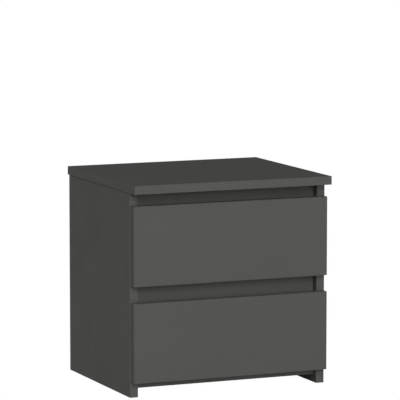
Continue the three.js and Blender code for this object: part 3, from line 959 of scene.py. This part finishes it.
# =====================================================================================
# drawers
# =====================================================================================
for d in ("upper", "lower"):
    body = f"{d}_drawer"
    front_lo, front_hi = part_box(f"{d}_drawer_front")
    floor_lo, floor_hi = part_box(f"{d}_drawer_bottom")
    groove = 3.25 * MM

    def front_groove(mats, fl=floor_lo, fh=floor_hi, ft=front_hi):
        return box_object((fl.x - 0.8 * MM, fl.y - 0.3 * MM, fl.z), (fh.x + 0.8 * MM, ft.y + 2 * MM, fl.z + groove), mats, RAW)

    cut = [front_groove]
    sides = {s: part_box(f"{d}_drawer_{s}_side") for s in SIGN}
    z0 = sides["left"][0].z
    cam_z = z0 + 58 * MM
    board(f"{d}_front_board", f"{d}_drawer_front", body, {(X, 0), (X, 1), (Z, 0), (Z, 1)}, GREY, cut)

    back_lo_, back_hi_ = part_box(f"{d}_drawer_back")
    for s, sg in SIGN.items():
        lo, hi = sides[s]
        inner = lo.x if sg > 0 else hi.x
        outer = hi.x if sg > 0 else lo.x
        cam_y = lo.y + 34 * MM

        def side_groove(mats, inner=inner, sg=sg, lo=lo, hi=hi, fl=floor_lo):
            a, b = inner - sg * 2 * MM, inner + sg * 8 * MM
            return box_object((min(a, b), lo.y - 2 * MM, fl.z), (max(a, b), hi.y + 2 * MM, fl.z + groove), mats, RAW)

        cut = [side_groove, drill("x", (0, cam_y, cam_z), cam_hole_r, inner - sg * 2 * MM, inner + sg * 12.5 * MM, 56)]
        heads = []
        for dz in (36 * MM, 80 * MM):
            yb = (back_lo_.y + back_hi_.y) / 2
            cut.append(drill("x", (0, yb, z0 + dz), 3.55 * MM, outer + sg * 2 * MM, outer - sg * 5.4 * MM, 36))
            heads.append(placed(confirmat(), (outer - sg * 0.15 * MM, yb, z0 + dz), (sg, 0, 0), None, random.uniform(0, 1)))
        board(f"{d}_{s}_side_board_of_drawer", f"{d}_drawer_{s}_side", body, {(Z, 1)}, PALE, cut)
        finish_piece(merged(f"{d}_{s}_drawer_back_screws", heads, [M["bolt"]]), body)
        finish_piece(merged(f"{d}_{s}_drawer_front_cam", [placed(cam_lock(), (inner + sg * 0.1 * MM, cam_y, cam_z), (-sg, 0, 0), (0, -1, 0))], [M["cam"]]), body)
    board(f"{d}_back_board_of_drawer", f"{d}_drawer_back", body, {(Z, 1)}, PALE)
    sheet_board(f"{d}_bottom_sheet_of_drawer", f"{d}_drawer_bottom", body, [M["hdf_raw"], M["hdf_white"], M["hdf_edge"]])
    pins = []
    for i in range(4):
        x = floor_lo.x + 34 * MM + i * (floor_hi.x - floor_lo.x - 68 * MM) / 3
        pins.append(placed(nail_head(), (x + random.uniform(-2, 2) * MM, (back_lo_.y + back_hi_.y) / 2, floor_lo.z), (0, 0, -1)))
    finish_piece(merged(f"{d}_drawer_bottom_nails", pins, [M["nail"]]), body)

# =====================================================================================
# camera
# =====================================================================================
yaw, pitch = 0.40271, 0.126593
cam_data = bpy.data.cameras.new("camera")
cam_data.sensor_width = 36.0
cam_data.lens = 3027.862 / 400 * 36.0
cam_data.clip_start, cam_data.clip_end = 0.1, 100.0
cam = bpy.data.objects.new("camera", cam_data)
coll.objects.link(cam)
cam.location = (-2.250774, -5.294106, 1.076356)
look = Vector((math.sin(yaw) * math.cos(pitch), math.cos(yaw) * math.cos(pitch), -math.sin(pitch)))
cam.rotation_mode = "QUATERNION"
cam.rotation_quaternion = look.to_track_quat("-Z", "Y")
scene.camera = cam

# =====================================================================================
# studio
# =====================================================================================
scene.view_settings.view_transform = "Standard"
scene.view_settings.look = "None"
scene.view_settings.exposure = 0.0
scene.view_settings.gamma = 1.0

AMBIENT = 0.098
world = bpy.data.worlds.new("studio")
scene.world = world
world.use_nodes = True
wt = world.node_tree
for n in list(wt.nodes):
    wt.nodes.remove(n)
w_out = wt.nodes.new("ShaderNodeOutputWorld")
w_bg = wt.nodes.new("ShaderNodeBackground")
w_bg.inputs["Color"].default_value = (1, 1, 1, 1)
w_bg.inputs["Strength"].default_value = AMBIENT
wt.links.new(w_bg.outputs[0], w_out.inputs["Surface"])


def stage_mesh(name, verts, faces, kind, value, one_sided=False):
    """A plain surface of the studio: kind is emission or diffuse. One-sided ones let a view from behind them through."""
    me = bpy.data.meshes.new(name)
    me.from_pydata(verts, [], faces)
    ob = bpy.data.objects.new(name, me)
    coll.objects.link(ob)
    m = bpy.data.materials.new(name)
    m.use_nodes = True
    nt = m.node_tree
    for n in list(nt.nodes):
        nt.nodes.remove(n)
    out = nt.nodes.new("ShaderNodeOutputMaterial")
    if kind == "emission":
        sh = nt.nodes.new("ShaderNodeEmission")
        sh.inputs["Color"].default_value = (1, 1, 1, 1)
        sh.inputs["Strength"].default_value = value
    else:
        sh = nt.nodes.new("ShaderNodeBsdfDiffuse")
        sh.inputs["Color"].default_value = (value, value, value, 1)
    surface = sh.outputs[0]
    if one_sided:
        geo = nt.nodes.new("ShaderNodeNewGeometry")
        tr = nt.nodes.new("ShaderNodeBsdfTransparent")
        mx = nt.nodes.new("ShaderNodeMixShader")
        nt.links.new(geo.outputs["Backfacing"], mx.inputs[0])
        nt.links.new(surface, mx.inputs[1])
        nt.links.new(tr.outputs[0], mx.inputs[2])
        surface = mx.outputs[0]
    nt.links.new(surface, out.inputs["Surface"])
    me.materials.append(m)
    return ob


R = 14.0
sheet = [(-R, -R, 0), (R, -R, 0), (R, R, 0), (-R, R, 0)]
# what the camera sees of the floor is evenly white, as on a light table ...
seen = stage_mesh("studio_floor", sheet, [(0, 1, 2, 3)], "emission", 1.0, True)
# ... and what the object gets back from it is the light that a pale floor reflects
bounce = stage_mesh("studio_floor_bounce", [(x, y, -0.0002) for x, y, z in sheet], [(0, 1, 2, 3)], "diffuse", 0.55)
b = 15.0
bv = [(-b, -b, -b), (b, -b, -b), (b, b, -b), (-b, b, -b), (-b, -b, b), (b, -b, b), (b, b, b), (-b, b, b)]
back = stage_mesh("studio_backdrop", bv, [(0, 1, 5, 4), (1, 2, 6, 5), (2, 3, 7, 6), (3, 0, 4, 7), (4, 5, 6, 7), (3, 2, 1, 0)], "emission", 1.0)
for ob in (seen, back):
    ob.visible_diffuse = ob.visible_glossy = ob.visible_transmission = ob.visible_shadow = False
bounce.visible_camera = False
bounce.visible_shadow = False


def softbox(name, azimuth, elevation, power, size=1.9, distance=3.5, target=(0.0, 0.0, 0.2), glossy=True):
    """A square soft light. Azimuth 0 stands in front of the drawers, 90 on the right; elevation is above the floor.
    A light with glossy off leaves no glare on the top in a view from the far side."""
    a, e = math.radians(azimuth), math.radians(elevation)
    li = bpy.data.lights.new(name, "AREA")
    li.shape = "SQUARE"
    li.size = size
    li.energy = power
    ob = bpy.data.objects.new(name, li)
    coll.objects.link(ob)
    aim = Vector(target)
    ob.location = aim + distance * Vector((math.sin(a) * math.cos(e), -math.cos(a) * math.cos(e), math.sin(e)))
    ob.rotation_mode = "QUATERNION"
    ob.rotation_quaternion = (aim - ob.location).to_track_quat("-Z", "Y")
    ob.visible_camera = False
    ob.visible_glossy = glossy
    return ob


softbox("key_low", -8, 8, 448.0, 4.0, 13.0, glossy=False)
softbox("key_middle", -8, 20, 566.0, 4.0, 13.0, glossy=False)
softbox("key_high", -20, 30, 460.0, 4.0, 13.0)
softbox("left_top", -46, 44, 312.0, 4.0, 13.0)
softbox("right_fill", 88, 9, 185.0, 3.0, 8.0)
softbox("back_fill", -157, 28, 80.0, 3.0, 8.0)
softbox("under_fill", 0, -90, 22.0, 4.0, 3.0)
